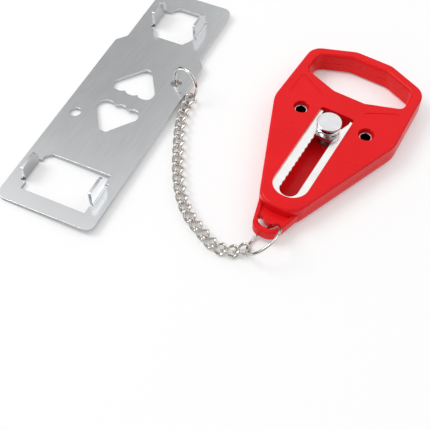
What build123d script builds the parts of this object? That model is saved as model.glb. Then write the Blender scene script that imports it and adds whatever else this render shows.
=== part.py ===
from build123d import *
import os
from math import cos, pi, radians, sin, sqrt

# Portable door lock: a toothed steel door plate, a short chain, and a red handle
# whose chromed knob slides and locks along a scalloped track.
# Millimetres, +Z up. The handle lies on its back with the finger hole towards +Y.
# The origin is on the floor, midway between the two eyelets.

os.makedirs("parts", exist_ok=True)

# General
cut_over = 1.0
fit_gap = 0.05
seam_gap = 0.1

# Handle shells
handle_height = 12.0
parting_z = 6.0
crown_y = 47.8
crown_half = 9.5
crown_r = 8.0
head_corner_y = 39.3
head_corner_r = 8.0
waist_half = 31.6
waist_y = 0.6
head_set_in = 1.2
head_corner_half = waist_half - head_set_in
waist_r = 15.0
tail_half = 8.75
tail_y = -58.3
tail_r = 9.0
top_edge_r = 1.4
back_edge_r = 3.5
seam_chamfer = 0.12
shell_wall = 2.4

# Finger hole
hole_crown_y = 42.6
side_rail = 5.0
hole_side_half = head_corner_half - side_rail
hole_corner_y = 36.2
hole_corner_r = 5.0
hole_side_low_y = 24.2
hole_side_low_r = 3.5
hole_foot_half = 8.0
hole_foot_y = 18.0
hole_foot_r = 4.0
hole_back_r = 2.0

# Shallow panels in the top face
panel_depth = 0.25
panel_r = 1.5
panel_outer_in = 5.3
panel_upper_in = 5.5
panel_outer_half = waist_half - panel_outer_in
panel_outer_y = 5.0
panel_upper_half = waist_half - panel_upper_in
panel_upper_y = 20.3
panel_inner_half = 8.8
panel_inner_y = 11.0

# Tail loop that carries the ring
loop_top_z = 8.2
loop_under_z = 3.0
loop_root_half = 9.7
loop_root_y = -55.0
loop_end_half = 5.4
loop_end_y = -70.8
loop_end_r = 5.2
loop_edge = 0.6
loop_rim = 1.7
web_top_z = 7.0
web_under_z = 4.4
ring_slot_r = 5.6
ring_slot_y = -60.6
ring_slot_width = 2.8
ring_slot_half_angle = 50.0

# Toothed track
track_thickness = 1.5
track_top_z = 10.8
track_half = 9.5
track_end_y = -52.4
track_end_r = 9.2
track_leg_y = 4.2
track_tip_y = 2.2
track_leg_r = 0.5
track_lip = 1.0
slot_right_x = 4.8
slot_root_x = -4.15
slot_end_band = 1.1
tooth_depth = 0.4
tooth_pitch = 3.2
tooth_land = 0.3
slot_flare_y = -3.8
slot_flare_half = 7.0

# Pocket and channel
pocket_top_y = 5.3
pocket_r = 8.0
pocket_corner_r = 1.5
channel_half = 6.2
channel_end_y = -51.0
channel_r = 2.0
channel_floor_z = 2.3
mark_r = 1.6
mark_height = 0.15
mark_y = -41.6

# Knob and what rides with it
knob_y = -5.4
knob_travel = 1.6
slide_notch_count = 12
head_r = 5.9
head_thickness = 1.2
knob_top_z = 16.4
knob_edge = 0.35
neck_r = 3.2
flange_r = 5.65
flange_thickness = 1.1
flange_low_z = 12.5
shoulder_r = 2.9
stem_r = 2.2
stem_low_z = 6.2
stem_bore_r = 1.05
stem_bore_top_z = 11.5
shoe_half = 6.1
shoe_length = 9.0
shoe_low_z = 7.35
shoe_top_z = 9.2
shoe_corner_r = 1.9
release_gap = 0.25
boss_r = 3.8
tooth_gap = 0.12
clip_r = 3.1
clip_low_z = 6.62
clip_high_z = 7.3
clip_groove_r = 1.8
clip_mouth = 3.0
foot_r = 4.0
foot_thickness = 1.0
post_top_z = 8.6
spring_wire_r = 0.25
spring_mean_r = 3.6
spring_turn_count = 2.5
spring_step_count = 16
spring_side_count = 6

# Eyelets
eyelet_x = 16.9
eyelet_bore_r = 2.3
eyelet_tube_r = 2.7
eyelet_flange_r = 3.2
eyelet_flange = 0.8
eyelet_sink_top = 1.9
eyelet_sink_back = 0.4
eyelet_seat_r = 3.8
eyelet_edge = 0.3

# Pegs that locate the shells
peg_r = 1.1
peg_height = 1.5
peg_room = 0.1
peg_side_x = hole_side_half + side_rail / 2
peg_side_y = 30.0
peg_crown_y = 45.1
peg_tail_y = -55.6

# Rings
ring_wire_r = 0.65
handle_ring_r = 8.98
handle_ring_x = 2.55
handle_ring_y = -74.36
handle_ring_z = 7.48
handle_ring_heading_angle = 175.6
handle_ring_lean_angle = 42.4
plate_ring_r = 7.6
plate_ring_heading_angle = -106.6
plate_ring_lean_angle = 9.2
plate_hook_rise = 0.45
ring_from_hole_x = 5.8
ring_from_hole_y = -1.4

# Chain links
link_wire_r = 0.6
link_end_r = 2.2
link_straight_half = 1.3
link_play = 0.35
link_twist_angle = 45.0
link_twist_reach = 2.2
link_side_count = 6
link_arc_count = 5
chain_first_heading_angle = 228.0
chain_turn_angles = (-24, -24, -24, -1, -2, -7, -8, -5, -5, -3, -3, -2, -1, -1, -1, -3, -6, -5, -1)

# Door plate
plate_length = 156.8
plate_half = 25.0
plate_narrow_half = 20.7
plate_sheet = 1.5
shoulder_soft_r = 2.0
plate_corner_r = 3.5
plate_end_r = 4.5
plate_turn_angle = 4.2
plate_tilt_angle = 2.9
plate_hole_r = 2.75
plate_hole_edge = 7.1
plate_hole_x = plate_half - plate_hole_edge
plate_centre_low = 0.2
plate_centre_y = plate_length / 2 - plate_centre_low
plate_hole_rise = 18.6
rect_half = 16.7
rect_low_y = 9.06
rect_high_y = 31.7
rect_corner_cut = 2.8
rect_tab_half = 16.9
rect_tab_low_y = 14.6
rect_tab_high_y = 26.5
rect_tab_top_z = 11.0
hex_half = 10.4
hex_length = 23.5
hex_end_strip = 9.9
hex_high_y = plate_length - hex_end_strip
hex_low_y = hex_high_y - hex_length
hex_cut_x = 3.6
hex_cut_y = 5.1
hex_tab_half = 10.9
hex_tab_foot = 6.5
hex_tab_head = 5.4
hex_tab_low_y = hex_low_y + hex_tab_foot
hex_tab_high_y = hex_high_y - hex_tab_head
hex_tab_top_z = 10.5
tab_corner_r = 3.5
tab_bend_r = 0.5
tab_relief = 1.2
shoulder_from_hex = 6.2
shoulder_rise = 4.8
shoulder_high_y = hex_low_y - shoulder_from_hex
shoulder_low_y = shoulder_high_y - shoulder_rise
cutout_left_x = -10.4
cutout_left_y = 5.8
cutout_apex_x = -1.3
cutout_apex_y = 21.1
cutout_top_x = 2.4
cutout_top_y = 20.4
cutout_right_x = 10.1
cutout_right_y = 9.8
cutout_foot_x = 8.9
cutout_foot_y = 4.7
lobe_right_x = 3.3
lobe_left_x = -3.5
lobe_cusp_y = 5.0
lobe_low_y = 3.8
cutout_turn_low = 0.7
cutout_soft_r = 0.7

# Worked-out sizes
track_under_z = track_top_z - track_thickness
boss_top_z = track_under_z + knob_travel - release_gap
slot_tip_x = slot_root_x + tooth_depth
tooth_half_chord = (tooth_pitch - tooth_land) / 2
tooth_r = (tooth_half_chord**2 + tooth_depth**2) / (2 * tooth_depth)
tooth_centre_x = slot_root_x + tooth_r
slot_end_r = (slot_right_x - slot_root_x) / 2
slot_mid_x = (slot_right_x + slot_root_x) / 2
slot_end_y = track_end_y + track_lip + slot_end_band + slot_end_r
foot_low_z = channel_floor_z + fit_gap
foot_top_z = foot_low_z + foot_thickness
taper = (waist_half - tail_half) / (waist_y - tail_y)
link_reach = link_straight_half + link_end_r
link_pitch = 2 * (link_reach - link_wire_r) - link_play
hook_reach = link_reach - link_wire_r - ring_wire_r - link_play
link_z = (link_end_r + link_wire_r) * sin(radians(link_twist_angle))


def at_both_sides(x, y):
    # A point and its mirror image across the handle's middle
    return [(x, y), (-x, y)]


def corners_at(sketch, points):
    # The sketch corners that lie at the given points
    return [sketch.vertices().sort_by_distance(Vector(*point))[0] for point in points]


def taper_half(y):
    # Half width of the tapering sides at a height along the handle
    return waist_half - taper * (waist_y - y)


def body_sketch(z):
    # Outline of the thick handle body with its finger hole
    with BuildSketch(Plane.XY.offset(z)) as outline:
        with BuildLine():
            Polyline(
                (-crown_half, crown_y),
                (-head_corner_half, head_corner_y),
                (-waist_half, waist_y),
                (-tail_half, tail_y),
                (tail_half, tail_y),
                (waist_half, waist_y),
                (head_corner_half, head_corner_y),
                (crown_half, crown_y),
                close=True,
            )
        make_face()
        flat = outline.sketch_local
        fillet(corners_at(flat, at_both_sides(tail_half, tail_y)), tail_r)
        flat = outline.sketch_local
        fillet(corners_at(flat, at_both_sides(waist_half, waist_y)), waist_r)
        flat = outline.sketch_local
        fillet(corners_at(flat, at_both_sides(head_corner_half, head_corner_y)), head_corner_r)
        flat = outline.sketch_local
        fillet(corners_at(flat, at_both_sides(crown_half, crown_y)), crown_r)
    return outline.sketch


def finger_hole_sketch(z):
    # Outline of the finger hole
    with BuildSketch(Plane.XY.offset(z)) as outline:
        with BuildLine():
            Polyline(
                (-crown_half, hole_crown_y),
                (-hole_side_half, hole_corner_y),
                (-hole_side_half, hole_side_low_y),
                (-hole_foot_half, hole_foot_y),
                (hole_foot_half, hole_foot_y),
                (hole_side_half, hole_side_low_y),
                (hole_side_half, hole_corner_y),
                (crown_half, hole_crown_y),
                close=True,
            )
        make_face()
        flat = outline.sketch_local
        fillet(corners_at(flat, at_both_sides(hole_foot_half, hole_foot_y)), hole_foot_r)
        flat = outline.sketch_local
        fillet(corners_at(flat, at_both_sides(hole_side_half, hole_side_low_y)), hole_side_low_r)
        flat = outline.sketch_local
        fillet(corners_at(flat, at_both_sides(hole_side_half, hole_corner_y)), hole_corner_r)
        flat = outline.sketch_local
        fillet(corners_at(flat, at_both_sides(crown_half, hole_crown_y)), crown_r)
    return outline.sketch


def lane_sketch(z, half, low_y, high_y, low_r, high_r):
    # A lane along the handle's middle with rounded ends
    with BuildSketch(Plane.XY.offset(z)) as outline:
        with Locations((0, (low_y + high_y) / 2)):
            Rectangle(2 * half, high_y - low_y)
        flat = outline.sketch_local
        fillet(corners_at(flat, at_both_sides(half, low_y)), low_r)
        flat = outline.sketch_local
        fillet(corners_at(flat, at_both_sides(half, high_y)), high_r)
    return outline.sketch


def side_room_sketch(z):
    # The two hollow rooms beside the track
    room_high_y = -(eyelet_seat_r + shell_wall / 2)
    room_inner = track_half + shell_wall
    slant_wall = shell_wall * sqrt(1 + taper**2)
    room_low_y = waist_y - (waist_half - slant_wall - room_inner) / taper
    with BuildSketch(Plane.XY.offset(z)) as rooms:
        for side in (-1, 1):
            with BuildLine():
                Polyline(
                    (side * room_inner, room_high_y),
                    (side * (taper_half(room_high_y) - slant_wall), room_high_y),
                    (side * room_inner, room_low_y),
                    close=True,
                )
            make_face()
        fillet(rooms.sketch_local.vertices(), channel_r / 2)
    return rooms.sketch


def loop_outline(z, inset):
    # Outline of the tail loop, drawn in by an inset
    with BuildSketch(Plane.XY.offset(z)) as outline:
        with BuildLine():
            Polyline(
                (-loop_root_half, loop_root_y),
                (-loop_end_half, loop_end_y),
                (loop_end_half, loop_end_y),
                (loop_root_half, loop_root_y),
                close=True,
            )
        make_face()
        flat = outline.sketch_local
        fillet(corners_at(flat, at_both_sides(loop_end_half, loop_end_y)), loop_end_r)
        if inset > 0:
            offset(amount=-inset)
    return outline.sketch


def peg_places():
    # Places of the pegs that line the shells up
    return [
        (-peg_side_x, peg_side_y),
        (peg_side_x, peg_side_y),
        (0, peg_crown_y),
        (0, peg_tail_y),
    ]


def eyelet_places():
    return [(-eyelet_x, 0), (eyelet_x, 0)]


# Handle, top shell
seat_top_z = handle_height - eyelet_sink_top - eyelet_flange
with BuildPart() as handle_top_shell:
    add(extrude(body_sketch(parting_z), handle_height - parting_z, mode=Mode.PRIVATE))
    extrude(finger_hole_sketch(parting_z), handle_height - parting_z, mode=Mode.SUBTRACT)
    fillet(handle_top_shell.edges().group_by(Axis.Z)[-1], top_edge_r)
    chamfer(handle_top_shell.edges().group_by(Axis.Z)[0], seam_chamfer)
    opening = lane_sketch(
        parting_z, track_half - track_lip, track_end_y + track_lip, pocket_top_y, pocket_r, pocket_corner_r
    )
    extrude(opening, handle_height - parting_z + cut_over, mode=Mode.SUBTRACT)
    seat = lane_sketch(
        parting_z,
        track_half + seam_gap,
        track_end_y - seam_gap,
        pocket_top_y,
        track_end_r,
        pocket_corner_r,
    )
    extrude(seat, track_top_z - parting_z, mode=Mode.SUBTRACT)
    extrude(side_room_sketch(parting_z), handle_height - parting_z - shell_wall, mode=Mode.SUBTRACT)
    with BuildSketch(Plane.XY.offset(handle_height - panel_depth)) as panels:
        for side in (-1, 1):
            with BuildLine():
                Polyline(
                    (side * panel_outer_half, panel_outer_y),
                    (side * panel_upper_half, panel_upper_y),
                    (side * panel_inner_half, panel_inner_y),
                    close=True,
                )
            make_face()
        fillet(panels.sketch_local.vertices(), panel_r)
    extrude(amount=panel_depth + cut_over, mode=Mode.SUBTRACT)
    with BuildSketch(Plane.XY.offset(parting_z)):
        with Locations(*eyelet_places()):
            Circle(eyelet_tube_r + fit_gap)
        with Locations(*peg_places()):
            Circle(peg_r + peg_room)
    extrude(amount=peg_height + peg_room, mode=Mode.SUBTRACT)
    with BuildSketch(Plane.XY.offset(parting_z)):
        with Locations(*eyelet_places()):
            Circle(eyelet_tube_r + fit_gap)
    extrude(amount=handle_height - parting_z, mode=Mode.SUBTRACT)
    with BuildSketch(Plane.XY.offset(seat_top_z)):
        with Locations(*eyelet_places()):
            Circle(eyelet_seat_r)
    extrude(amount=handle_height - seat_top_z + cut_over, mode=Mode.SUBTRACT)

# Handle, back shell with the tail loop
seat_back_z = eyelet_sink_back + eyelet_flange
with BuildPart() as handle_back_shell:
    add(extrude(body_sketch(0), parting_z, mode=Mode.PRIVATE))
    fillet(handle_back_shell.edges().group_by(Axis.Z)[0], back_edge_r)
    extrude(finger_hole_sketch(0), parting_z, mode=Mode.SUBTRACT)
    hole_wire = finger_hole_sketch(0).face().outer_wire()
    back_edges = handle_back_shell.edges().group_by(Axis.Z)[0]
    hole_rim = [edge for edge in back_edges if hole_wire.distance_to(edge.center()) < fit_gap]
    fillet(hole_rim, hole_back_r)
    chamfer(handle_back_shell.edges().group_by(Axis.Z)[-1], seam_chamfer)
    extrude(side_room_sketch(shell_wall), parting_z - shell_wall, mode=Mode.SUBTRACT)
    rails = lane_sketch(
        channel_floor_z,
        track_half,
        track_end_y,
        track_tip_y,
        track_end_r,
        pocket_corner_r,
    )
    extrude(rails, track_under_z - channel_floor_z)
    channel = lane_sketch(
        channel_floor_z, channel_half, channel_end_y, pocket_top_y, channel_r, channel_r
    )
    extrude(channel, track_under_z - channel_floor_z + cut_over, mode=Mode.SUBTRACT)
    with BuildSketch(Plane.XY.offset(channel_floor_z)):
        with Locations((0, mark_y)):
            Circle(mark_r)
            Circle(mark_r - mark_height, mode=Mode.SUBTRACT)
    extrude(amount=-mark_height, mode=Mode.SUBTRACT)
    with BuildPart(mode=Mode.PRIVATE) as loop:
        extrude(loop_outline(loop_under_z, 0), loop_top_z - loop_under_z)
        chamfer(loop.edges().group_by(Axis.Z)[-1], loop_edge)
        chamfer(loop.edges().group_by(Axis.Z)[0], loop_edge)
        extrude(loop_outline(web_top_z, loop_rim), loop_top_z - web_top_z, mode=Mode.SUBTRACT)
        extrude(loop_outline(loop_under_z, loop_rim), web_under_z - loop_under_z, mode=Mode.SUBTRACT)
        with BuildSketch(Plane.XY.offset(loop_under_z)):
            slot_start = 270 - ring_slot_half_angle
            with BuildLine(mode=Mode.PRIVATE):
                slot_line = CenterArc(
                    (0, ring_slot_y), ring_slot_r, slot_start, 2 * ring_slot_half_angle
                )
            SlotArc(slot_line, ring_slot_width)
        extrude(amount=loop_top_z - loop_under_z, mode=Mode.SUBTRACT)
        with BuildSketch(Plane.XY.offset(parting_z)):
            add(body_sketch(0))
            offset(amount=seam_gap)
        extrude(amount=loop_top_z, mode=Mode.SUBTRACT)
    add(loop.part)
    with BuildSketch(Plane.XY.offset(parting_z)):
        with Locations(*peg_places()):
            Circle(peg_r)
    extrude(amount=peg_height)
    with BuildSketch():
        with Locations(*eyelet_places()):
            Circle(eyelet_tube_r + fit_gap)
    extrude(amount=parting_z, mode=Mode.SUBTRACT)
    with BuildSketch(Plane.XY.offset(seat_back_z)):
        with Locations(*eyelet_places()):
            Circle(eyelet_seat_r)
    extrude(amount=-seat_back_z - cut_over, mode=Mode.SUBTRACT)

# Toothed track: a U of steel whose slot has a scalloped left edge
with BuildPart() as toothed_track:
    plate_form = lane_sketch(
        track_under_z, track_half, track_end_y, track_leg_y, track_end_r, track_leg_r
    )
    extrude(plate_form, track_thickness)
    with BuildSketch(Plane.XY.offset(track_under_z)):
        with BuildLine():
            Polyline(
                (slot_tip_x, slot_end_y),
                (slot_right_x, slot_end_y),
                (slot_right_x, slot_flare_y),
                (slot_flare_half, track_tip_y),
                (slot_flare_half, track_leg_y + cut_over),
                (-slot_flare_half, track_leg_y + cut_over),
                (-slot_flare_half, track_tip_y),
                (slot_tip_x, slot_flare_y),
                close=True,
            )
        make_face()
        for notch in range(slide_notch_count + 1):
            with Locations((tooth_centre_x, knob_y - notch * tooth_pitch)):
                Circle(tooth_r)
    extrude(amount=track_thickness, mode=Mode.SUBTRACT)
    with BuildSketch(Plane.XY.offset(track_under_z)):
        with Locations((slot_mid_x, slot_end_y)):
            Circle(slot_end_r)
        with Locations((slot_mid_x, slot_end_y + slot_end_r / 2)):
            Rectangle(2 * slot_end_r + cut_over, slot_end_r, mode=Mode.SUBTRACT)
    extrude(amount=track_thickness, mode=Mode.SUBTRACT)

# Eyelets that clamp the shells
def make_eyelet(x):
    low_z = eyelet_sink_back
    high_z = handle_height - eyelet_sink_top
    with BuildPart() as eyelet:
        with BuildSketch(Plane.XZ):
            with BuildLine():
                Polyline(
                    (eyelet_bore_r, low_z),
                    (eyelet_flange_r, low_z),
                    (eyelet_flange_r, low_z + eyelet_flange),
                    (eyelet_tube_r, low_z + eyelet_flange),
                    (eyelet_tube_r, high_z - eyelet_flange),
                    (eyelet_flange_r, high_z - eyelet_flange),
                    (eyelet_flange_r, high_z),
                    (eyelet_bore_r, high_z),
                    close=True,
                )
            make_face()
        revolve(axis=Axis.Z)
        chamfer(eyelet.edges().group_by(Axis.Z)[-1], eyelet_edge)
        chamfer(eyelet.edges().group_by(Axis.Z)[0], eyelet_edge)
    return eyelet.part.moved(Location((x, 0, 0)))


with BuildPart() as eyelet_left:
    add(make_eyelet(-eyelet_x))

with BuildPart() as eyelet_right:
    add(make_eyelet(eyelet_x))

# Slide foot: a disc on the channel floor with a post up the knob's stem
knob_place = Plane(origin=(0, knob_y, 0))
with BuildPart() as slide_foot:
    with BuildSketch(knob_place.offset(foot_low_z)):
        Circle(foot_r)
    extrude(amount=foot_thickness)
    with BuildSketch(knob_place.offset(foot_low_z)):
        Circle(stem_bore_r - fit_gap)
    extrude(amount=post_top_z - foot_low_z)
    chamfer(slide_foot.edges().group_by(Axis.Z)[-1], knob_edge / 2)

# Knob: head, neck, flange and stem turned in one
with BuildPart() as lock_knob:
    with BuildSketch(Plane(origin=(0, knob_y, 0), x_dir=(1, 0, 0), z_dir=(0, -1, 0))) as profile:
        with BuildLine():
            Polyline(
                (0, stem_bore_top_z),
                (stem_bore_r, stem_bore_top_z),
                (stem_bore_r, stem_low_z),
                (stem_r, stem_low_z),
                (stem_r, clip_low_z),
                (clip_groove_r, clip_low_z),
                (clip_groove_r, clip_high_z),
                (stem_r, clip_high_z),
                (stem_r, boss_top_z),
                (shoulder_r, boss_top_z),
                (shoulder_r, flange_low_z),
                (flange_r, flange_low_z),
                (flange_r, flange_low_z + flange_thickness),
                (neck_r, flange_low_z + flange_thickness),
                (neck_r, knob_top_z - head_thickness),
                (head_r, knob_top_z - head_thickness),
                (head_r, knob_top_z),
                (0, knob_top_z),
                close=True,
            )
        make_face()
        rims = profile.sketch_local.vertices().filter_by_position(
            Axis.X, flange_r - cut_over / 2, flange_r + cut_over
        )
        chamfer(rims, knob_edge)
    revolve(axis=Axis((0, knob_y, 0), (0, 0, 1)))

# Lock shoe: a plate under the track with a toothed boss up in the slot
with BuildPart() as lock_shoe:
    with BuildSketch(knob_place.offset(shoe_low_z)):
        RectangleRounded(2 * shoe_half, shoe_length, shoe_corner_r)
    extrude(amount=shoe_top_z - shoe_low_z)
    with BuildSketch(knob_place.offset(shoe_low_z)):
        with Locations((slot_mid_x, 0)):
            Circle(boss_r)
        with Locations((tooth_centre_x, 0)):
            Circle(tooth_r - tooth_gap)
    extrude(amount=boss_top_z - shoe_low_z)
    with BuildSketch(knob_place.offset(shoe_low_z)):
        Circle(stem_r + fit_gap)
    extrude(amount=boss_top_z - shoe_low_z, mode=Mode.SUBTRACT)

# Clip in the stem's groove, under the shoe
with BuildPart() as stem_clip:
    with BuildSketch(knob_place.offset(clip_low_z + fit_gap)):
        Circle(clip_r)
        Circle(clip_groove_r + fit_gap, mode=Mode.SUBTRACT)
        with Locations((0, clip_r)):
            Rectangle(clip_mouth, 2 * clip_r, mode=Mode.SUBTRACT)
    extrude(amount=clip_high_z - clip_low_z - 2 * fit_gap)


def wire_section(centre, along, upright, wire_r, side_count):
    # Corners of a faceted wire's section at one point of its centreline
    upright = (upright - along * along.dot(upright)).normalized()
    across = along.cross(upright)
    section = []
    for k in range(side_count):
        angle = 2 * pi * (k + 0.5) / side_count
        section.append(centre + (upright * cos(angle) + across * sin(angle)) * wire_r)
    return section


def faceted_wire(sections, closed):
    # Solid wire through a row of sections, joined into a loop or capped at its ends
    faces = []
    count = len(sections)
    for i in range(count if closed else count - 1):
        here = sections[i]
        there = sections[(i + 1) % count]
        for k in range(len(here)):
            n = (k + 1) % len(here)
            faces.append(Face(Wire.make_polygon([here[k], here[n], there[n]])))
            faces.append(Face(Wire.make_polygon([here[k], there[n], there[k]])))
    if not closed:
        faces.append(Face(Wire.make_polygon(sections[0])))
        faces.append(Face(Wire.make_polygon(sections[-1])))
    return Solid(Shell(faces))


def spring_form(low_z, high_z):
    # Open coil whose wire ends just touch the two levels
    step_count = int(spring_turn_count * spring_step_count)
    low = low_z + spring_wire_r
    rise = (high_z - low_z - 2 * spring_wire_r) / step_count
    sections = []
    for step in range(step_count + 1):
        angle = 2 * pi * step / spring_step_count
        spoke = Vector(cos(angle), sin(angle), 0)
        centre = Vector(0, knob_y, low + rise * step) + spoke * spring_mean_r
        along = Vector(-sin(angle), cos(angle), 0)
        sections.append(
            wire_section(centre, along, Vector(0, 0, 1), spring_wire_r, spring_side_count)
        )
    return faceted_wire(sections, False)


# Coil spring between the foot and the shoe
with BuildPart() as knob_spring:
    add(spring_form(foot_top_z, shoe_low_z))


def ring_axis(heading, lean):
    # Unit axis of a ring whose axis leans up from a heading
    flat = cos(radians(lean))
    return Vector(cos(radians(heading)) * flat, sin(radians(heading)) * flat, sin(radians(lean)))


def ring_spokes(axis):
    # Level spoke and rising spoke in the plane of a ring
    level = Vector(0, 0, 1).cross(axis).normalized()
    return level, axis.cross(level).normalized()


# Handle ring through the loop's slot
handle_ring_axis = ring_axis(handle_ring_heading_angle, handle_ring_lean_angle)
handle_ring_centre = Vector(handle_ring_x, handle_ring_y, handle_ring_z)
with BuildPart(Plane(origin=handle_ring_centre, z_dir=handle_ring_axis)) as handle_ring:
    Torus(handle_ring_r, ring_wire_r)

# Where the chain takes hold of the handle ring, at the height of its links
level, rising = ring_spokes(handle_ring_axis)
drop = (handle_ring_z - link_z) / (handle_ring_r * rising.Z)
hook_side = level if level.Y < 0 else level * -1
chain_start = handle_ring_centre + (hook_side * sqrt(1 - drop**2) - rising * drop) * handle_ring_r


def heading_vector(angle):
    return Vector(cos(radians(angle)), sin(radians(angle)), 0)


def chain_walk():
    # Centre and heading of every link, from the handle ring to the plate ring
    angle = chain_first_heading_angle
    place = Vector(chain_start.X, chain_start.Y, link_z) + heading_vector(angle) * hook_reach
    walk = [(place, angle)]
    for turn in chain_turn_angles:
        place = place + heading_vector(angle) * (link_pitch / 2)
        angle = angle + turn
        place = place + heading_vector(angle) * (link_pitch / 2)
        walk.append((place, angle))
    return walk


def link_stations():
    # Centreline points of a flat link, once round
    stations = []
    for end in (1, -1):
        for step in range(link_arc_count + 1):
            angle = radians(-90 + 180 * step / link_arc_count)
            x = end * (link_straight_half + link_end_r * cos(angle))
            stations.append((x, end * link_end_r * sin(angle)))
        stations.append((0, end * link_end_r))
    return stations


def link_form():
    # A twisted curb link of faceted wire
    flat = link_stations()
    twists = []
    centres = []
    for x, y in flat:
        share = max(-1, min(1, x / link_twist_reach))
        twist = radians(link_twist_angle) * sin(share * pi / 2)
        twists.append(twist)
        centres.append(Vector(x, y * cos(twist), y * sin(twist)))
    count = len(centres)
    sections = []
    for i in range(count):
        along = (centres[(i + 1) % count] - centres[i - 1]).normalized()
        upright = Vector(0, -sin(twists[i]), cos(twists[i]))
        sections.append(
            wire_section(centres[i], along, upright, link_wire_r, link_side_count)
        )
    return faceted_wire(sections, True)


chain_places = chain_walk()
link_solid = link_form()
for index, (centre, heading) in enumerate(chain_places, start=1):
    with BuildPart() as chain_link:
        add(link_solid.moved(Location(centre, (0, 0, heading))))
    chain_link.part.label = f"chain_link_{index:02d}"
    export_step(chain_link.part, f"parts/chain_link_{index:02d}.step")

# Plate ring, standing across the strip between the plate's hole and its edge
plate_ring_axis = ring_axis(plate_ring_heading_angle, plate_ring_lean_angle)
level, rising = ring_spokes(plate_ring_axis)
last_centre, last_heading = chain_places[-1]
chain_end = last_centre + heading_vector(last_heading) * hook_reach + Vector(0, 0, plate_hook_rise)
plate_ring_z = plate_ring_r * rising.Z + ring_wire_r
drop = (plate_ring_z - link_z - plate_hook_rise) / (plate_ring_r * rising.Z)
hook_side = level if level.X > 0 else level * -1
plate_ring_centre = chain_end - (hook_side * sqrt(1 - drop**2) - rising * drop) * plate_ring_r
with BuildPart(Plane(origin=plate_ring_centre, z_dir=plate_ring_axis)) as plate_ring:
    Torus(plate_ring_r, ring_wire_r)


def bent_tab(side, half, low_y, high_y, top_z):
    # An upright tab bent out of the sheet, with its far top corner rounded
    with BuildPart() as tab:
        with BuildSketch(Plane.XZ.offset(-low_y)) as profile:
            with BuildLine():
                Polyline(
                    (side * half, 0),
                    (side * (half + 2 * plate_sheet + tab_bend_r), 0),
                    (side * (half + 2 * plate_sheet + tab_bend_r), plate_sheet),
                    (side * (half + plate_sheet), plate_sheet),
                    (side * (half + plate_sheet), top_z),
                    (side * half, top_z),
                    close=True,
                )
            make_face()
            flat = profile.sketch_local
            fillet(corners_at(flat, [(side * half, 0)]), plate_sheet + tab_bend_r)
            flat = profile.sketch_local
            fillet(corners_at(flat, [(side * (half + plate_sheet), plate_sheet)]), tab_bend_r)
        extrude(amount=-(high_y - low_y))
        top_edges = tab.edges().filter_by(Axis.X).group_by(Axis.Z)[-1]
        fillet(top_edges.sort_by(Axis.Y)[-1], tab_corner_r)
        fillet(tab.edges().filter_by(Axis.X).group_by(Axis.Z)[-1].sort_by(Axis.Y)[0], tab_bend_r)
    return tab.part


def tab_bed(half, low_y, high_y):
    # Room in the sheet for two bent tabs and the relief cuts at their ends
    with Locations((0, (low_y + high_y) / 2)):
        Rectangle(2 * (half + 2 * plate_sheet + tab_bend_r), high_y - low_y)
        for end in (-1, 1):
            with Locations((0, end * (high_y - low_y + tab_relief) / 2)):
                Rectangle(2 * (half + plate_sheet + tab_bend_r), tab_relief)


def cutout_sketch():
    # One of the two lightening cut-outs: a leaning triangle on three shallow lobes
    with BuildSketch(Plane(origin=(0, plate_centre_y, 0))) as cutout:
        with BuildLine():
            Polyline(
                (cutout_left_x, cutout_left_y),
                (cutout_apex_x, cutout_apex_y),
                (cutout_top_x, cutout_top_y),
                (cutout_right_x, cutout_right_y),
                (cutout_foot_x, cutout_foot_y),
            )
            ThreePointArc(
                (cutout_foot_x, cutout_foot_y),
                ((cutout_foot_x + lobe_right_x) / 2, lobe_low_y),
                (lobe_right_x, lobe_cusp_y),
            )
            ThreePointArc(
                (lobe_right_x, lobe_cusp_y),
                ((lobe_right_x + lobe_left_x) / 2, lobe_low_y),
                (lobe_left_x, lobe_cusp_y),
            )
            ThreePointArc(
                (lobe_left_x, lobe_cusp_y),
                ((lobe_left_x + cutout_left_x) / 2, lobe_low_y),
                (cutout_left_x, cutout_left_y),
            )
        make_face()
        soft_places = [
            (cutout_left_x, cutout_left_y),
            (cutout_apex_x, cutout_apex_y),
            (cutout_top_x, cutout_top_y),
            (cutout_right_x, cutout_right_y),
            (cutout_foot_x, cutout_foot_y),
        ]
        for place in soft_places:
            fillet(corners_at(cutout.sketch_local, [place]), cutout_soft_r)
    return cutout.sketch


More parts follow.
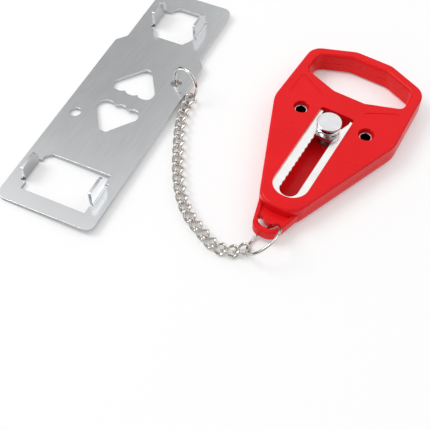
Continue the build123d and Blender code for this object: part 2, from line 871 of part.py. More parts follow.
# Door plate, made flat and then laid on its place
with BuildPart() as flat_plate:
    with BuildSketch() as sheet:
        with BuildLine():
            Polyline(
                (-plate_half, 0),
                (plate_half, 0),
                (plate_half, shoulder_low_y),
                (plate_narrow_half, shoulder_high_y),
                (plate_narrow_half, plate_length),
                (-plate_narrow_half, plate_length),
                (-plate_narrow_half, shoulder_high_y),
                (-plate_half, shoulder_low_y),
                close=True,
            )
        make_face()
        flat = sheet.sketch_local
        fillet(corners_at(flat, at_both_sides(plate_half, 0)), plate_corner_r)
        flat = sheet.sketch_local
        fillet(corners_at(flat, at_both_sides(plate_narrow_half, plate_length)), plate_end_r)
        for shoulder in ((plate_half, shoulder_low_y), (plate_narrow_half, shoulder_high_y)):
            flat = sheet.sketch_local
            fillet(corners_at(flat, at_both_sides(*shoulder)), shoulder_soft_r)
    extrude(amount=plate_sheet)
    with BuildSketch():
        with BuildLine():
            Polyline(
                (-rect_half, rect_low_y),
                (rect_half - rect_corner_cut, rect_low_y),
                (rect_half, rect_low_y + rect_corner_cut),
                (rect_half, rect_high_y),
                (rect_corner_cut - rect_half, rect_high_y),
                (-rect_half, rect_high_y - rect_corner_cut),
                close=True,
            )
        make_face()
        tab_bed(rect_tab_half, rect_tab_low_y, rect_tab_high_y)
    extrude(amount=plate_sheet, mode=Mode.SUBTRACT)
    with BuildSketch():
        with BuildLine():
            Polyline(
                (-hex_half, hex_low_y),
                (hex_half - hex_cut_x, hex_low_y),
                (hex_half, hex_low_y + hex_cut_y),
                (hex_half, hex_high_y),
                (hex_cut_x - hex_half, hex_high_y),
                (-hex_half, hex_high_y - hex_cut_y),
                close=True,
            )
        make_face()
        tab_bed(hex_tab_half, hex_tab_low_y, hex_tab_high_y)
    extrude(amount=plate_sheet, mode=Mode.SUBTRACT)
    cutout = cutout_sketch()
    extrude(cutout, plate_sheet, mode=Mode.SUBTRACT)
    turned = cutout.rotate(Axis((0, plate_centre_y - cutout_turn_low, 0), (0, 0, 1)), 180)
    extrude(turned, plate_sheet, mode=Mode.SUBTRACT)
    with BuildSketch():
        with Locations(
            (plate_hole_x, plate_centre_y + plate_hole_rise),
            (-plate_hole_x, plate_centre_y - plate_hole_rise),
        ):
            Circle(plate_hole_r)
    extrude(amount=plate_sheet, mode=Mode.SUBTRACT)
    for side in (-1, 1):
        add(bent_tab(side, rect_tab_half, rect_tab_low_y, rect_tab_high_y, rect_tab_top_z))
        add(bent_tab(side, hex_tab_half, hex_tab_low_y, hex_tab_high_y, hex_tab_top_z))

# The ring under its right side props the plate, so it leans on its left edge
along_x = heading_vector(plate_turn_angle)
along_y = Vector(0, 0, 1).cross(along_x)
plate_x_dir = along_x * cos(radians(plate_tilt_angle)) + Vector(0, 0, sin(radians(plate_tilt_angle)))
plate_z_dir = Vector(0, 0, cos(radians(plate_tilt_angle))) - along_x * sin(radians(plate_tilt_angle))
plate_origin = (
    Vector(plate_ring_centre.X, plate_ring_centre.Y, plate_half * sin(radians(plate_tilt_angle)))
    - along_x * (plate_hole_x + ring_from_hole_x)
    - along_y * (plate_centre_y + plate_hole_rise + ring_from_hole_y)
)
plate_seat = Plane(origin=plate_origin, x_dir=plate_x_dir, z_dir=plate_z_dir)
with BuildPart() as door_plate:
    add(flat_plate.part.moved(plate_seat.location))

finished = {
    "handle_top_shell": handle_top_shell,
    "handle_back_shell": handle_back_shell,
    "toothed_track": toothed_track,
    "eyelet_left": eyelet_left,
    "eyelet_right": eyelet_right,
    "slide_foot": slide_foot,
    "lock_knob": lock_knob,
    "lock_shoe": lock_shoe,
    "stem_clip": stem_clip,
    "knob_spring": knob_spring,
    "handle_ring": handle_ring,
    "plate_ring": plate_ring,
    "door_plate": door_plate,
}
for name, builder in finished.items():
    builder.part.label = name
    export_step(builder.part, f"parts/{name}.step")
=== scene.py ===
from math import cos, pi, radians, sin

import bpy
from mathutils import Matrix, Vector


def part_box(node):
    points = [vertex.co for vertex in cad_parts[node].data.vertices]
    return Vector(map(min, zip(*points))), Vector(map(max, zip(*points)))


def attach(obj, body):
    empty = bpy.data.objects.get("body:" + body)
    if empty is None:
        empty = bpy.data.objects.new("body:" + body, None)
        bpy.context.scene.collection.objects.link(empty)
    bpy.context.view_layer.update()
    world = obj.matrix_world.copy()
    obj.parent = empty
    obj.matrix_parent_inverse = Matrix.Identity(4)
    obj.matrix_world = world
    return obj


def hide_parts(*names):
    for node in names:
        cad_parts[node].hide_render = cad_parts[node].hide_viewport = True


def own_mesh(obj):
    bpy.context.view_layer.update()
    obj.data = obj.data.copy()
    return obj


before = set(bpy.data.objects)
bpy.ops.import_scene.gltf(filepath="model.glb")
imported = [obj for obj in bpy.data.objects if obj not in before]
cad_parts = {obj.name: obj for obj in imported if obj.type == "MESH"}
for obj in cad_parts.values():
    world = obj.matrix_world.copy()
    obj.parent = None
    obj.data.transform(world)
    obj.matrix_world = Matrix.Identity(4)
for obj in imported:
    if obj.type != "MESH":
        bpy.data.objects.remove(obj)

bpy.ops.object.select_all(action="DESELECT")
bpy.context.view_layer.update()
scene = bpy.context.scene
scene.view_settings.view_transform = "Standard"

# The lock is seen from above and beside the handle's tail, with the plate running out of
# the frame at the top left. The lens is a short telephoto on a full frame.
view_place = Vector((0.0935, -0.2914, 0.3494))
view_turn = radians(-27.917)
view_drop = radians(54.178)
view_roll = radians(2.368)
film_width = 36
lens_length = 80.06
nearest_seen = 0.01

forward = Vector(
    (sin(view_turn) * cos(view_drop), cos(view_turn) * cos(view_drop), -sin(view_drop))
)
level_right = Vector((cos(view_turn), -sin(view_turn), 0))
level_up = level_right.cross(forward)
view_right = level_right * cos(view_roll) + level_up * sin(view_roll)
view_up = level_up * cos(view_roll) - level_right * sin(view_roll)

bpy.ops.object.camera_add()
camera = bpy.context.object
camera.name = "view_camera"
camera.data.sensor_width = film_width
camera.data.lens = lens_length
camera.data.clip_start = nearest_seen
camera.matrix_world = Matrix.Translation(view_place) @ Matrix(
    (view_right, view_up, -forward)
).transposed().to_4x4()
scene.camera = camera

# A matt white table under two soft lamps, in a white room. The table also glows a little to the
# eye, less where the lock is near, which is a painted contact shade, so it keeps the soft shadow.
# Bright metal mirrors only the near part of it; the far part is painted dark in reflections only.
table_size = 6.0
table_top_z = -0.0001
table_white = "#FFFFFF"
table_glow = 0.6
contact_shade_reach = 0.02
painted_far_reflection = "#2B2B2D"
painted_far_reflection_start = 0.05
painted_far_reflection_end = 0.25
painted_far_reflection_share = 0.95


def paint(code):
    # A colour written as on a swatch, turned into the linear shares the shaders take
    shares = [int(code[place : place + 2], 16) / 255 for place in (1, 3, 5)]
    linear = [
        share / 12.92 if share <= 0.04045 else ((share + 0.055) / 1.055) ** 2.4 for share in shares
    ]
    return (*linear, 1.0)


def put(tree, kind, ports=None, **settings):
    # Adds one node. A port takes a number or colour, another node's first output, or an output.
    node = tree.nodes.new(kind)
    for name, value in settings.items():
        setattr(node, name, value)
    for port, value in (ports or {}).items():
        if isinstance(value, bpy.types.Node):
            value = value.outputs[0]
        if isinstance(value, bpy.types.NodeSocket):
            tree.links.new(value, node.inputs[port])
        else:
            node.inputs[port].default_value = value
    return node


def new_material(name):
    material = bpy.data.materials.new(name)
    material.use_nodes = True
    material.node_tree.nodes.clear()
    return material, material.node_tree


def seen_or_mirrored(tree):
    # One for what the camera, a mirror or a glass sees, nought for what only lights
    ray = put(tree, "ShaderNodeLightPath").outputs
    mirrored = ray["Is Glossy Ray"]
    seen = put(tree, "ShaderNodeMath", {0: ray["Is Camera Ray"], 1: mirrored}, operation="MAXIMUM")
    seen = put(
        tree, "ShaderNodeMath", {0: seen, 1: ray["Is Transmission Ray"]}, operation="MAXIMUM"
    )
    return seen, mirrored


table_paint, tree = new_material("matt_white_table")
seen, mirrored = seen_or_mirrored(tree)
matt = put(tree, "ShaderNodeBsdfDiffuse", {"Color": paint(table_white)})
glow = put(tree, "ShaderNodeEmission", {"Color": paint(table_white), "Strength": 1.0})
# Painted contact shade: the glow dims where the lock stands near the table
painted_contact_shade = put(tree, "ShaderNodeAmbientOcclusion", {"Distance": contact_shade_reach}).outputs["AO"]
share = put(tree, "ShaderNodeMath", {0: seen, 1: painted_contact_shade}, operation="MULTIPLY")
share = put(tree, "ShaderNodeMath", {0: share, 1: table_glow}, operation="MULTIPLY")
surface = put(tree, "ShaderNodeMixShader", {0: share, 1: matt, 2: glow})
table_place = put(tree, "ShaderNodeTexCoord").outputs["Object"]
reach = put(tree, "ShaderNodeVectorMath", {0: table_place}, operation="LENGTH").outputs["Value"]
# Painted dark reflection: away from the lock the table shows dark to mirrors only
far = put(
    tree,
    "ShaderNodeMapRange",
    {"Value": reach, "From Min": painted_far_reflection_start, "From Max": painted_far_reflection_end},
)
dark = put(tree, "ShaderNodeEmission", {"Color": paint(painted_far_reflection), "Strength": 1.0})
share = put(tree, "ShaderNodeMath", {0: far, 1: mirrored}, operation="MULTIPLY")
share = put(tree, "ShaderNodeMath", {0: share, 1: painted_far_reflection_share}, operation="MULTIPLY")
surface = put(tree, "ShaderNodeMixShader", {0: share, 1: surface, 2: dark})
put(tree, "ShaderNodeOutputMaterial", {"Surface": surface})

bpy.ops.mesh.primitive_plane_add(size=table_size, location=(0, 0, table_top_z))
table = bpy.context.object
table.name = "table"
table.data.materials.append(table_paint)

# The room is white and even, and lights the lock from all sides. Bright metal mirrors it dimmer in
# three places, as painted reflections that light nothing: a grey patch above the plate, a dark
# patch round the camera, and a dark band low round the horizon.
room_white = "#FFFFFF"
room_level = 0.6
# Each is a turn and a rise, the reach of its middle and of its edge, all in degrees, and the
# share of the light that it takes
painted_grey_reflection = (131.5, 40.5, 2, 12, 0.6)
painted_dark_reflection_near_camera = (-68, 51, 14, 32, 0.92)
painted_low_band_top = 0.5
painted_low_band_foot = 0.05
painted_low_band_dark = 0.96

room = bpy.data.worlds.new("white_room")
room.use_nodes = True
tree = room.node_tree
tree.nodes.clear()
seen, mirrored = seen_or_mirrored(tree)
way = put(tree, "ShaderNodeTexCoord").outputs["Generated"]
height = put(tree, "ShaderNodeSeparateXYZ", {0: way}).outputs["Z"]
level = put(
    tree,
    "ShaderNodeMapRange",
    {
        "Value": height,
        "From Min": painted_low_band_top,
        "From Max": painted_low_band_foot,
        "To Min": 1.0,
        "To Max": 1 - painted_low_band_dark,
    },
    interpolation_type="SMOOTHSTEP",
)
# Painted reflections: each patch dims the room as mirrors see it, and lights nothing
for turn, rise, inner, outer, taken in (painted_grey_reflection, painted_dark_reflection_near_camera):
    turn, rise = radians(turn), radians(rise)
    place_way = (cos(turn) * cos(rise), sin(turn) * cos(rise), sin(rise))
    toward = put(tree, "ShaderNodeVectorMath", {0: way, 1: place_way}, operation="DOT_PRODUCT")
    spot = put(
        tree,
        "ShaderNodeMapRange",
        {
            "Value": toward.outputs["Value"],
            "From Min": cos(radians(outer)),
            "From Max": cos(radians(inner)),
            "To Min": 1.0,
            "To Max": 1 - taken,
        },
        interpolation_type="SMOOTHSTEP",
    )
    level = put(tree, "ShaderNodeMath", {0: level, 1: spot}, operation="MULTIPLY")
level = put(tree, "ShaderNodeMapRange", {"Value": mirrored, "To Min": 1.0, "To Max": level})
lighting = put(tree, "ShaderNodeBackground", {"Color": paint(room_white), "Strength": room_level})
looked_at = put(tree, "ShaderNodeBackground", {"Color": paint(room_white), "Strength": level})
surface = put(tree, "ShaderNodeMixShader", {0: seen, 1: lighting, 2: looked_at})
put(tree, "ShaderNodeOutputWorld", {"Surface": surface})
scene.world = room

# Two round soft lamps hang over the table, the main one to the left, which throws the soft
# shadows to the right, and a weak one behind and to the right, which fills them.
lamp_width = 1.0
main_lamp = ((-1.15, -0.35, 1.45), 15.5)
fill_lamp = ((0.95, 0.75, 1.4), 3.0)
for place, power in (main_lamp, fill_lamp):
    bpy.ops.object.light_add(type="AREA", location=place)
    lamp = bpy.context.object
    lamp.name = "soft_lamp"
    lamp.data.shape = "DISK"
    lamp.data.size = lamp_width
    lamp.data.energy = power
    lamp.rotation_euler = (-Vector(place)).to_track_quat("-Z", "Y").to_euler()

# The handle is two shells of red ABS, moulded in a polished mould and clamped by two eyelets.
# That gives a full red with a soft gloss, and a tint and a sheen that wander a little, as on a
# thick moulding that cooled unevenly.
abs_red = "#EA161C"
abs_deep_red = "#E31319"
abs_tint_size = 0.02
abs_sheen_size = 0.003
abs_smoothest = 0.27
abs_dullest = 0.36
abs_ior = 1.5
abs_specular = 0.2
noise_low = 0.3
noise_high = 0.7


def mottled(tree, size, first, second):
    # A colour that wanders between two near tones, in clouds of about a size in metres
    place = put(tree, "ShaderNodeTexCoord").outputs["Object"]
    cloud = put(tree, "ShaderNodeTexNoise", {"Vector": place, "Scale": 1 / size})
    share = put(
        tree,
        "ShaderNodeMapRange",
        {"Value": cloud, "From Min": noise_low, "From Max": noise_high},
    )
    mixed = put(
        tree,
        "ShaderNodeMix",
        {0: share, 6: paint(first), 7: paint(second)},
        data_type="RGBA",
    )
    return mixed.outputs[2]


def dress(node, material):
    # A carried-over solid takes a material in every slot that it has
    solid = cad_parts[node]
    if not solid.material_slots:
        solid.data.materials.append(material)
    for slot in solid.material_slots:
        slot.material = material


red_abs, tree = new_material("moulded_gloss_red_abs")
place = put(tree, "ShaderNodeTexCoord").outputs["Object"]
patches = put(tree, "ShaderNodeTexNoise", {"Vector": place, "Scale": 1 / abs_sheen_size})
sheen = put(
    tree,
    "ShaderNodeMapRange",
    {
        "Value": patches,
        "From Min": noise_low,
        "From Max": noise_high,
        "To Min": abs_smoothest,
        "To Max": abs_dullest,
    },
)
surface = put(
    tree,
    "ShaderNodeBsdfPrincipled",
    {
        "Base Color": mottled(tree, abs_tint_size, abs_red, abs_deep_red),
        "Roughness": sheen,
        "IOR": abs_ior,
        "Specular IOR Level": abs_specular,
    },
)
put(tree, "ShaderNodeOutputMaterial", {"Surface": surface})
dress("handle_top_shell", red_abs)
dress("handle_back_shell", red_abs)

# The toothed track is blanked from bright steel strip and polished along its length, which
# leaves a near-white shine with fine lines. Real polishing lines are some 0.02 mm wide, too
# fine to show here, so they are drawn 0.12 mm wide.
line_relief = 0.35


def lined_steel(name, light, shade, cloud, smoothest, dullest, line, stretch, depth):
    # Steel with a faint cloudiness, under fine lines that are as wide as line and as deep as
    # depth. A stretch below one draws them out along that axis.
    material, tree = new_material(name)
    place = put(tree, "ShaderNodeTexCoord").outputs["Object"]
    scale = [share / line for share in stretch]
    drawn_out = put(tree, "ShaderNodeMapping", {"Vector": place, "Scale": scale})
    lines = put(tree, "ShaderNodeTexNoise", {"Vector": drawn_out, "Scale": 1.0})
    sheen = put(
        tree,
        "ShaderNodeMapRange",
        {
            "Value": lines,
            "From Min": noise_low,
            "From Max": noise_high,
            "To Min": smoothest,
            "To Max": dullest,
        },
    )
    relief = put(
        tree, "ShaderNodeBump", {"Height": lines, "Strength": line_relief, "Distance": depth}
    )
    surface = put(
        tree,
        "ShaderNodeBsdfPrincipled",
        {
            "Base Color": mottled(tree, cloud, light, shade),
            "Metallic": 1.0,
            "Roughness": sheen,
            "Normal": relief,
        },
    )
    put(tree, "ShaderNodeOutputMaterial", {"Surface": surface})
    return material


bright_steel = lined_steel(
    "polished_bright_steel",
    light="#FAFAF8",
    shade="#F2F2F0",
    cloud=0.006,
    smoothest=0.2,
    dullest=0.3,
    line=0.00012,
    stretch=(1, 0.03, 1),
    depth=0.000002,
)
dress("toothed_track", bright_steel)

# The shoe under the track and the foot on the channel's floor are small steel parts. They are
# barrel plated with zinc, which is bright with a fine soft mottle and no lines.
small_plated = lined_steel(
    "barrel_zinc_plated_steel",
    light="#D9DBDD",
    shade="#C3C6C9",
    cloud=0.003,
    smoothest=0.22,
    dullest=0.34,
    line=0.0004,
    stretch=(1, 1, 1),
    depth=0.000004,
)
dress("slide_foot", small_plated)
dress("lock_shoe", small_plated)

# The two eyelets are drawn steel tubes, zinc plated and rolled over at both ends to clamp the
# shells. Their bores are painted dark, a painted shade for the deep holes.
painted_bore_shade = "#2A2321"
bore_radius = 0.0024
bore_edge = 0.00012


def middle(node):
    low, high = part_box(node)
    return (Vector(low) + Vector(high)) / 2


eyelet_steel = small_plated.copy()
eyelet_steel.name = "zinc_plated_eyelet_steel"
tree = eyelet_steel.node_tree
surface = tree.nodes["Principled BSDF"]
plated = surface.inputs["Base Color"].links[0].from_socket
place = put(tree, "ShaderNodeTexCoord").outputs["Object"]
one_side = put(tree, "ShaderNodeVectorMath", {0: place}, operation="ABSOLUTE")
bore_middle = (middle("eyelet_right").x, 0, 0)
from_bore = put(tree, "ShaderNodeVectorMath", {0: one_side, 1: bore_middle}, operation="SUBTRACT")
across = put(tree, "ShaderNodeVectorMath", {0: from_bore, 1: (1, 1, 0)}, operation="MULTIPLY")
distance = put(tree, "ShaderNodeVectorMath", {0: across}, operation="LENGTH").outputs["Value"]
# Painted shade: the base colour turns dark inside the bore
inside = put(
    tree,
    "ShaderNodeMapRange",
    {
        "Value": distance,
        "From Min": bore_radius,
        "From Max": bore_radius + bore_edge,
        "To Min": 1.0,
        "To Max": 0.0,
    },
)
tint = put(tree, "ShaderNodeMix", {0: inside, 6: plated, 7: paint(painted_bore_shade)}, data_type="RGBA")
tree.links.new(tint.outputs[2], surface.inputs["Base Color"])
dress("eyelet_left", eyelet_steel)
dress("eyelet_right", eyelet_steel)

# The open clip in the stem's groove, which holds the shoe on, is stamped from drawn spring steel
# strip and oiled. It is darker and duller than the plated parts.
spring_steel = lined_steel(
    "drawn_oiled_spring_steel",
    light="#A9A9AB",
    shade="#8E8E92",
    cloud=0.003,
    smoothest=0.25,
    dullest=0.4,
    line=0.0003,
    stretch=(1, 1, 1),
    depth=0.000003,
)
dress("stem_clip", spring_steel)

# The knob is turned from one steel bar, polished and chrome plated: a flat head over a short
# neck and a wider flange, with small rolled edges. The chrome is near white, and mirrors with a
# slight wave from the polishing.
plating_tint_size = 0.004
plating_sheen_size = 0.001
polish_wave_size = 0.0022
polish_wave_depth = 0.00003
polish_wave_relief = 0.2
knob_place = Vector((0, -0.0054, 0))
knob_profile = (
    (0.0, 0.0115),
    (0.00105, 0.0115),
    (0.00105, 0.0062),
    (0.0022, 0.0062),
    (0.0022, 0.00662),
    (0.0018, 0.00662),
    (0.0018, 0.0073),
    (0.0022, 0.0073),
    (0.0022, 0.01065),
    (0.0029, 0.01065),
    (0.0029, 0.0125),
    (0.00565, 0.0125),
    (0.00565, 0.0136),
    (0.0032, 0.0136),
    (0.0032, 0.0152),
    (0.0059, 0.0152),
    (0.0059, 0.0164),
    (0.0, 0.0164),
)
knob_rim = 0.005
knob_round = 0.00038
knob_round_steps = 4
knob_steps = 96
knob_weld = 0.000002
knob_crease = radians(35)


def bright_plating(name, light, shade, smoothest, dullest):
    # Polished metal under a bright plating
    material, tree = new_material(name)
    place = put(tree, "ShaderNodeTexCoord").outputs["Object"]
    wave = put(tree, "ShaderNodeTexNoise", {"Vector": place, "Scale": 1 / polish_wave_size})
    patches = put(tree, "ShaderNodeTexNoise", {"Vector": place, "Scale": 1 / plating_sheen_size})
    sheen = put(
        tree,
        "ShaderNodeMapRange",
        {
            "Value": patches,
            "From Min": noise_low,
            "From Max": noise_high,
            "To Min": smoothest,
            "To Max": dullest,
        },
    )
    relief = put(
        tree,
        "ShaderNodeBump",
        {"Height": wave, "Strength": polish_wave_relief, "Distance": polish_wave_depth},
    )
    surface = put(
        tree,
        "ShaderNodeBsdfPrincipled",
        {
            "Base Color": mottled(tree, plating_tint_size, light, shade),
            "Metallic": 1.0,
            "Roughness": sheen,
            "Normal": relief,
        },
    )
    put(tree, "ShaderNodeOutputMaterial", {"Surface": surface})
    return material


def take(piece):
    # Selects one piece alone, to work on
    bpy.ops.object.select_all(action="DESELECT")
    piece.select_set(True)
    bpy.context.view_layer.objects.active = piece


def start_editing(piece):
    take(piece)
    bpy.ops.object.mode_set(mode="EDIT")
    bpy.ops.mesh.select_all(action="SELECT")


def start_outline(name, place):
    # A small square shrunk to one point, from which an outline is drawn
    bpy.ops.mesh.primitive_plane_add(size=0.001, location=(0, 0, 0))
    piece = bpy.context.object
    piece.name = name
    start_editing(piece)
    bpy.ops.mesh.merge(type="CENTER")
    bpy.ops.transform.translate(value=place)
    return piece


def draw_on(step):
    bpy.ops.mesh.extrude_region_move(TRANSFORM_OT_translate={"value": step})


def pick(piece, kind, test):
    # Selects only the points, edges or faces whose middle passes a test
    bpy.ops.mesh.select_mode(type=kind)
    bpy.ops.mesh.select_all(action="DESELECT")
    bpy.ops.object.mode_set(mode="OBJECT")
    mesh = piece.data
    if kind == "VERT":
        for point in mesh.vertices:
            point.select = test(point.co)
    elif kind == "EDGE":
        for edge in mesh.edges:
            ends = [mesh.vertices[end].co for end in edge.vertices]
            edge.select = test((ends[0] + ends[1]) / 2)
    else:
        for face in mesh.polygons:
            face.select = test(face.center)
    bpy.ops.object.mode_set(mode="EDIT")


def face_outwards():
    bpy.ops.mesh.select_all(action="SELECT")
    bpy.ops.mesh.normals_make_consistent(inside=False)


chrome = bright_plating(
    "polished_chrome_plate", light="#E9EAEC", shade="#DFE0E3", smoothest=0.05, dullest=0.11
)
knob = start_outline("turned_knob", (knob_profile[0][0], 0, knob_profile[0][1]))
for here, there in zip(knob_profile, knob_profile[1:]):
    draw_on((there[0] - here[0], 0, there[1] - here[1]))
pick(knob, "VERT", lambda point: point.x > knob_rim)
bpy.ops.mesh.bevel(offset=knob_round, segments=knob_round_steps, affect="VERTICES")
bpy.ops.mesh.select_all(action="SELECT")
bpy.ops.mesh.spin(steps=knob_steps, angle=2 * pi, center=(0, 0, 0), axis=(0, 0, 1))
bpy.ops.mesh.select_all(action="SELECT")
bpy.ops.mesh.remove_doubles(threshold=knob_weld)
face_outwards()
bpy.ops.transform.translate(value=knob_place)
bpy.ops.object.mode_set(mode="OBJECT")
bpy.ops.object.shade_smooth_by_angle(angle=knob_crease)
knob.data.materials.append(chrome)
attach(knob, "knob")
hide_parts("lock_knob")

# The spring is coiled from drawn spring steel wire, oiled as the clip is, with both ends cut
# square. It stands on the foot, lifts the shoe, and shortens as the knob is pressed.
coil_wire = 0.00025
coil_radius = 0.0036
coil_foot = 0.00335
coil_rise = 0.00348
coil_turns = 2.5
coil_sides = 12
coil_steps = 90
coil_crease = radians(35)


def wire_end(name, wire, sides, place, turn):
    # The open round end of a wire, to be wound or drawn out
    bpy.ops.mesh.primitive_circle_add(vertices=sides, radius=wire, location=place, rotation=turn)
    piece = bpy.context.object
    piece.name = name
    bpy.ops.object.transform_apply(location=True, rotation=True, scale=True)
    return piece


spring = wire_end(
    "coiled_spring", coil_wire, coil_sides, (coil_radius, 0, coil_foot + coil_wire), (pi / 2, 0, 0)
)
winding = spring.modifiers.new("winding", "SCREW")
winding.axis = "Z"
winding.angle = 2 * pi * coil_turns
winding.screw_offset = coil_rise
winding.steps = coil_steps
winding.render_steps = coil_steps
bpy.ops.object.modifier_apply(modifier="winding")
start_editing(spring)
bpy.ops.mesh.fill_holes(sides=coil_sides)
face_outwards()
bpy.ops.transform.translate(value=knob_place)
bpy.ops.object.mode_set(mode="OBJECT")
bpy.ops.object.shade_smooth_by_angle(angle=coil_crease)
spring.data.materials.append(spring_steel)
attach(spring, "slide_carriage")
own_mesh(spring)
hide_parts("knob_spring")

# The two rings are bent from round steel wire with their ends butted, then nickel plated, which
# is a little warmer than chrome. One hangs in the slot of the handle's tail and one in a hole of
# the plate.
ring_wire = 0.0007
ring_sides = 20
ring_steps = 140
ring_gap = radians(1.6)
ring_lift = 0.00005
ring_crease = radians(40)
handle_ring_size = {"radius": 0.00898, "heading": 175.6, "lean": 42.4, "seam": 100}
plate_ring_size = {"radius": 0.0076, "heading": -106.6, "lean": 9.2, "seam": 60}


def bent_ring(name, centre, radius, heading, lean, seam):
    # Bent lying level about the origin, open by a hair at its seam. Then it is turned until its
    # axis has its heading and lean in degrees, and moved to its place.
    ring = wire_end(name, ring_wire, ring_sides, (radius, 0, 0), (pi / 2, 0, 0))
    start_editing(ring)
    bpy.ops.mesh.spin(steps=ring_steps, angle=2 * pi - ring_gap, center=(0, 0, 0), axis=(0, 0, 1))
    bpy.ops.mesh.select_all(action="DESELECT")
    bpy.ops.mesh.select_non_manifold()
    bpy.ops.mesh.edge_face_add()
    face_outwards()
    bpy.ops.object.mode_set(mode="OBJECT")
    ring.rotation_euler = (0, 0, radians(seam))
    bpy.ops.object.transform_apply(location=True, rotation=True, scale=True)
    bpy.ops.object.shade_smooth_by_angle(angle=ring_crease)
    heading, lean = radians(heading), radians(lean)
    axis = Vector((cos(heading) * cos(lean), sin(heading) * cos(lean), sin(lean)))
    ring.rotation_euler = axis.to_track_quat("Z", "Y").to_euler()
    ring.location = centre + Vector((0, 0, ring_lift))
    take(ring)
    bpy.ops.object.transform_apply(location=True, rotation=True, scale=True)
    ring.data.materials.append(nickel)
    return ring


nickel = bright_plating(
    "bright_nickel_plate", light="#E2E0DB", shade="#D3D0CA", smoothest=0.04, dullest=0.08
)
handle_ring = bent_ring("handle_wire_ring", middle("handle_ring"), **handle_ring_size)
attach(handle_ring, "handle_ring_body")
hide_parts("handle_ring")
plate_ring = bent_ring("plate_wire_ring", middle("plate_ring"), **plate_ring_size)
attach(plate_ring, "plate_ring_body")
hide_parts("plate_ring")

# The chain is twenty curb links of the same nickel plated steel wire. Each is a welded oval,
# twisted until its two ends stand square to each other, so that the chain lies flat. The last one
# stands a little off the plate, which turns beside it.
link_wire = 0.00072
link_sides = 16
link_end = 0.00245
link_end_steps = 20
link_half = 0.00114
link_half_steps = 5
link_weld = 0.00001
link_twist = radians(90)
link_twist_reach = 0.0017
link_lift = 0.00042
last_link_clear = 0.00045
first_heading = 228.0
turn_angles = (0, -24, -24, -24, -1, -2, -7, -8, -5, -5, -3, -3, -2, -1, -1, -1, -3, -6, -5, -1)


def run_straight(distance, steps):
    for step in range(steps):
        draw_on((distance / steps, 0, 0))


def turn_end(bend_x):
    bpy.ops.mesh.spin(steps=link_end_steps, angle=pi, center=(bend_x, 0, 0), axis=(0, 0, 1))


pattern_link = wire_end("pattern_link", link_wire, link_sides, (0, link_end, 0), (0, pi / 2, 0))
start_editing(pattern_link)
run_straight(link_half, link_half_steps)
turn_end(link_half)
run_straight(-2 * link_half, 2 * link_half_steps)
turn_end(-link_half)
run_straight(link_half, link_half_steps)
bpy.ops.mesh.select_all(action="SELECT")
bpy.ops.mesh.remove_doubles(threshold=link_weld)
face_outwards()
bpy.ops.object.mode_set(mode="OBJECT")
twisted_share = link_twist_reach / (link_half + link_end + link_wire)
twist = pattern_link.modifiers.new("twist", "SIMPLE_DEFORM")
twist.deform_method = "TWIST"
twist.deform_axis = "X"
twist.angle = link_twist
twist.limits = ((1 - twisted_share) / 2, (1 + twisted_share) / 2)
bpy.ops.object.modifier_apply(modifier="twist")
bpy.ops.object.shade_smooth()

heading = first_heading
for number, turn in enumerate(turn_angles, start=1):
    heading = heading + turn
    link = pattern_link.copy()
    link.data = pattern_link.data.copy()
    link.name = f"wire_link_{number:02d}"
    scene.collection.objects.link(link)
    clear = last_link_clear if number == len(turn_angles) else 0
    link.rotation_euler = (0, 0, radians(heading))
    link.location = middle(f"chain_link_{number:02d}") + Vector((clear, 0, link_lift))
    take(link)
    bpy.ops.object.transform_apply(location=True, rotation=True, scale=True)
    link.data.materials.append(nickel)
    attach(link, f"link_{number:02d}")
    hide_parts(f"chain_link_{number:02d}")
bpy.data.objects.remove(pattern_link)

# The door plate is stamped from 1.5 mm steel sheet, its four tabs bent up in the same press, and
# bright zinc plated. That gives a cool grey, which shows mid grey where it mirrors the painted
# grey reflection, with faint rolling lines along its length, drawn 0.4 mm wide so that they show.
sheet = 0.0015
sheet_edge = 0.00014
sheet_edge_steps = 2
sheet_edge_angle = radians(40)
sheet_crease = radians(20)
corner_steps = 8
plate_corner = Vector((-0.090378, -0.109011, 0.00126482))
plate_turn = radians(4.2)
plate_lean = radians(2.9)
# Each corner is its place and how far from it the rounding starts
plate_outline = (
    (-0.025, 0.0, 0.0048),
    (0.025, 0.0, 0.0037),
    (0.025, 0.1124, 0.0008),
    (0.0207, 0.1172, 0.0008),
    (0.0207, 0.1568, 0.0045),
    (-0.0207, 0.1568, 0.0045),
    (-0.0207, 0.1172, 0.0008),
    (-0.025, 0.1124, 0.0008),
)
long_window = (
    (-0.0165, 0.0083, 0.0005),
    (0.0174, 0.0080, 0.0005),
    (0.0174, 0.0318, 0.0005),
    (-0.0141, 0.0318, 0.0004),
    (-0.0165, 0.0292, 0.0004),
)
eight_sided_window = (
    (-0.0072, 0.1226, 0.0004),
    (0.0080, 0.1226, 0.0004),
    (0.0110, 0.1272, 0.0004),
    (0.0110, 0.1425, 0.0004),
    (0.0080, 0.1470, 0.0004),
    (-0.0060, 0.1470, 0.0004),
    (-0.0102, 0.1420, 0.0004),
    (-0.0102, 0.1284, 0.0004),
)
cloud_cutout = (
    (-0.0109, 0.0863, 0.0010),
    (-0.0097, 0.0814, 0.0020),
    (-0.0046, 0.0808, 0.0015),
    (-0.0029, 0.0823, 0.0),
    (-0.0016, 0.0806, 0.0015),
    (0.0028, 0.0805, 0.0015),
    (0.0041, 0.0820, 0.0),
    (0.0053, 0.0803, 0.0014),
    (0.0109, 0.0806, 0.0022),
    (0.0122, 0.0852, 0.0016),
    (0.0031, 0.0991, 0.0012),
    (-0.0007, 0.0994, 0.0010),
)
cloud_turn_x, cloud_turn_y = (0.00055, 0.07675)
hole_places = ((0.0179, 0.0968), (-0.0179, 0.0596))
hole_radius = 0.00275
hole_sides = 48
near_tabs = {"half": 0.0169, "low_y": 0.0136, "high_y": 0.0256}
far_tabs = {"half": 0.0109, "low_y": 0.1296, "high_y": 0.1415}
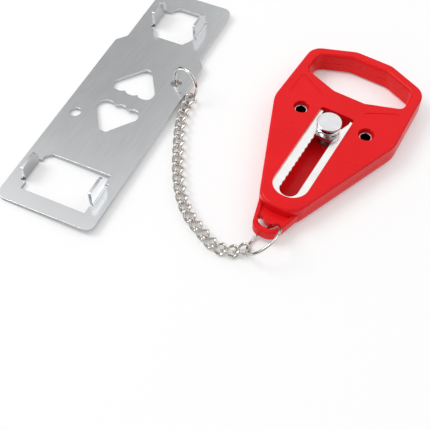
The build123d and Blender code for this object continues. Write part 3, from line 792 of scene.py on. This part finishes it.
tabs = (
    {"side": -1, "top_z": 0.0092, **near_tabs},
    {"side": 1, "top_z": 0.0092, **near_tabs},
    {"side": -1, "top_z": 0.0103, **far_tabs},
    {"side": 1, "top_z": 0.0097, **far_tabs},
)
tab_bend = 0.0005
tab_bend_steps = 6
tab_relief = 0.001
tab_nip = 0.0004
tab_round = 0.0035
bed_start_share = 0.4
touching = 0.00002


def near(point, place):
    return (point - Vector(place)).length < touching


def flat_block(name, corners, low, high):
    # An outline drawn corner by corner, each corner rounded, then raised to a block
    first, last = [(*corner[:2], low) for corner in (corners[0], corners[-1])]
    block = start_outline(name, first)
    for here, there in zip(corners, corners[1:]):
        draw_on((there[0] - here[0], there[1] - here[1], 0))
    pick(block, "VERT", lambda point: near(point, first) or near(point, last))
    bpy.ops.mesh.edge_face_add()
    bpy.ops.mesh.select_all(action="SELECT")
    bpy.ops.mesh.edge_face_add()
    for x, y, set_back in corners:
        if set_back:
            pick(block, "VERT", lambda point: near(point, (x, y, low)))
            bpy.ops.mesh.bevel(offset=set_back, segments=corner_steps, affect="VERTICES")
    bpy.ops.mesh.select_all(action="SELECT")
    draw_on((0, 0, high - low))
    face_outwards()
    bpy.ops.object.mode_set(mode="OBJECT")
    return block


def cut_away(piece, punch):
    # Takes one block out of another, and removes it
    cut = piece.modifiers.new("cut", "BOOLEAN")
    cut.operation = "DIFFERENCE"
    cut.solver = "EXACT"
    cut.object = punch
    take(piece)
    bpy.ops.object.modifier_apply(modifier="cut")
    bpy.data.objects.remove(punch)


def punch_out(piece, corners):
    cut_away(piece, flat_block("punch", corners, -sheet, 2 * sheet))


plate = flat_block("pressed_plate", plate_outline, 0, sheet)
turned_cloud = [
    (2 * cloud_turn_x - x, 2 * cloud_turn_y - y, set_back) for x, y, set_back in cloud_cutout
]
for outline in (long_window, eight_sided_window, cloud_cutout, turned_cloud):
    punch_out(plate, outline)
for x, y in hole_places:
    bpy.ops.mesh.primitive_cylinder_add(
        vertices=hole_sides, radius=hole_radius, depth=4 * sheet, location=(x, y, sheet / 2)
    )
    punch = bpy.context.object
    bpy.ops.object.transform_apply(location=True, rotation=True, scale=True)
    cut_away(plate, punch)
for tab in tabs:
    # Each tab's bed is punched out of the window's edge, with a relief nick at both its ends
    start_x = bed_start_share * tab["half"]
    root_x = tab["half"] + sheet + tab_bend
    nick_x = root_x + tab_nip
    low_y, high_y = tab["low_y"], tab["high_y"]
    bed = (
        (start_x, low_y - tab_relief),
        (nick_x, low_y - tab_relief),
        (nick_x, low_y),
        (root_x, low_y),
        (root_x, high_y),
        (nick_x, high_y),
        (nick_x, high_y + tab_relief),
        (start_x, high_y + tab_relief),
    )
    punch_out(plate, [(tab["side"] * x, y, 0) for x, y in bed])
for tab in tabs:
    # The sheet left at the bed's root is bent up, drawn to its height and rounded at the top
    side, top_z = tab["side"], tab["top_z"]
    root_x = side * (tab["half"] + sheet + tab_bend)
    top_x = side * (tab["half"] + sheet / 2)
    middle_y = (tab["low_y"] + tab["high_y"]) / 2
    start_editing(plate)
    pick(plate, "FACE", lambda point: near(point, (root_x, middle_y, sheet / 2)))
    bpy.ops.mesh.spin(
        steps=tab_bend_steps,
        angle=pi / 2,
        center=(root_x, middle_y, sheet + tab_bend),
        axis=(0, -side, 0),
    )
    draw_on((0, 0, top_z - sheet - tab_bend))
    for corner_y, set_back in ((tab["high_y"], tab_round), (tab["low_y"], tab_nip)):
        pick(plate, "EDGE", lambda point: near(point, (top_x, corner_y, top_z)))
        bpy.ops.mesh.bevel(offset=set_back, segments=corner_steps, affect="EDGES")
    bpy.ops.object.mode_set(mode="OBJECT")
soften = plate.modifiers.new("soften", "BEVEL")
soften.width = sheet_edge
soften.segments = sheet_edge_steps
soften.limit_method = "ANGLE"
soften.angle_limit = sheet_edge_angle
take(plate)
bpy.ops.object.modifier_apply(modifier="soften")
plate.rotation_euler = (0, -plate_lean, plate_turn)
plate.location = plate_corner
bpy.ops.object.transform_apply(location=True, rotation=True, scale=True)
bpy.ops.object.shade_smooth_by_angle(angle=sheet_crease)
plate_zinc = lined_steel(
    "rolled_zinc_plated_sheet",
    light="#E2E3E5",
    shade="#DCDEE0",
    cloud=0.03,
    smoothest=0.17,
    dullest=0.23,
    line=0.0004,
    stretch=(1, 0.04, 1),
    depth=0.000001,
)
plate.data.materials.append(plate_zinc)
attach(plate, "plate")
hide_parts("door_plate")
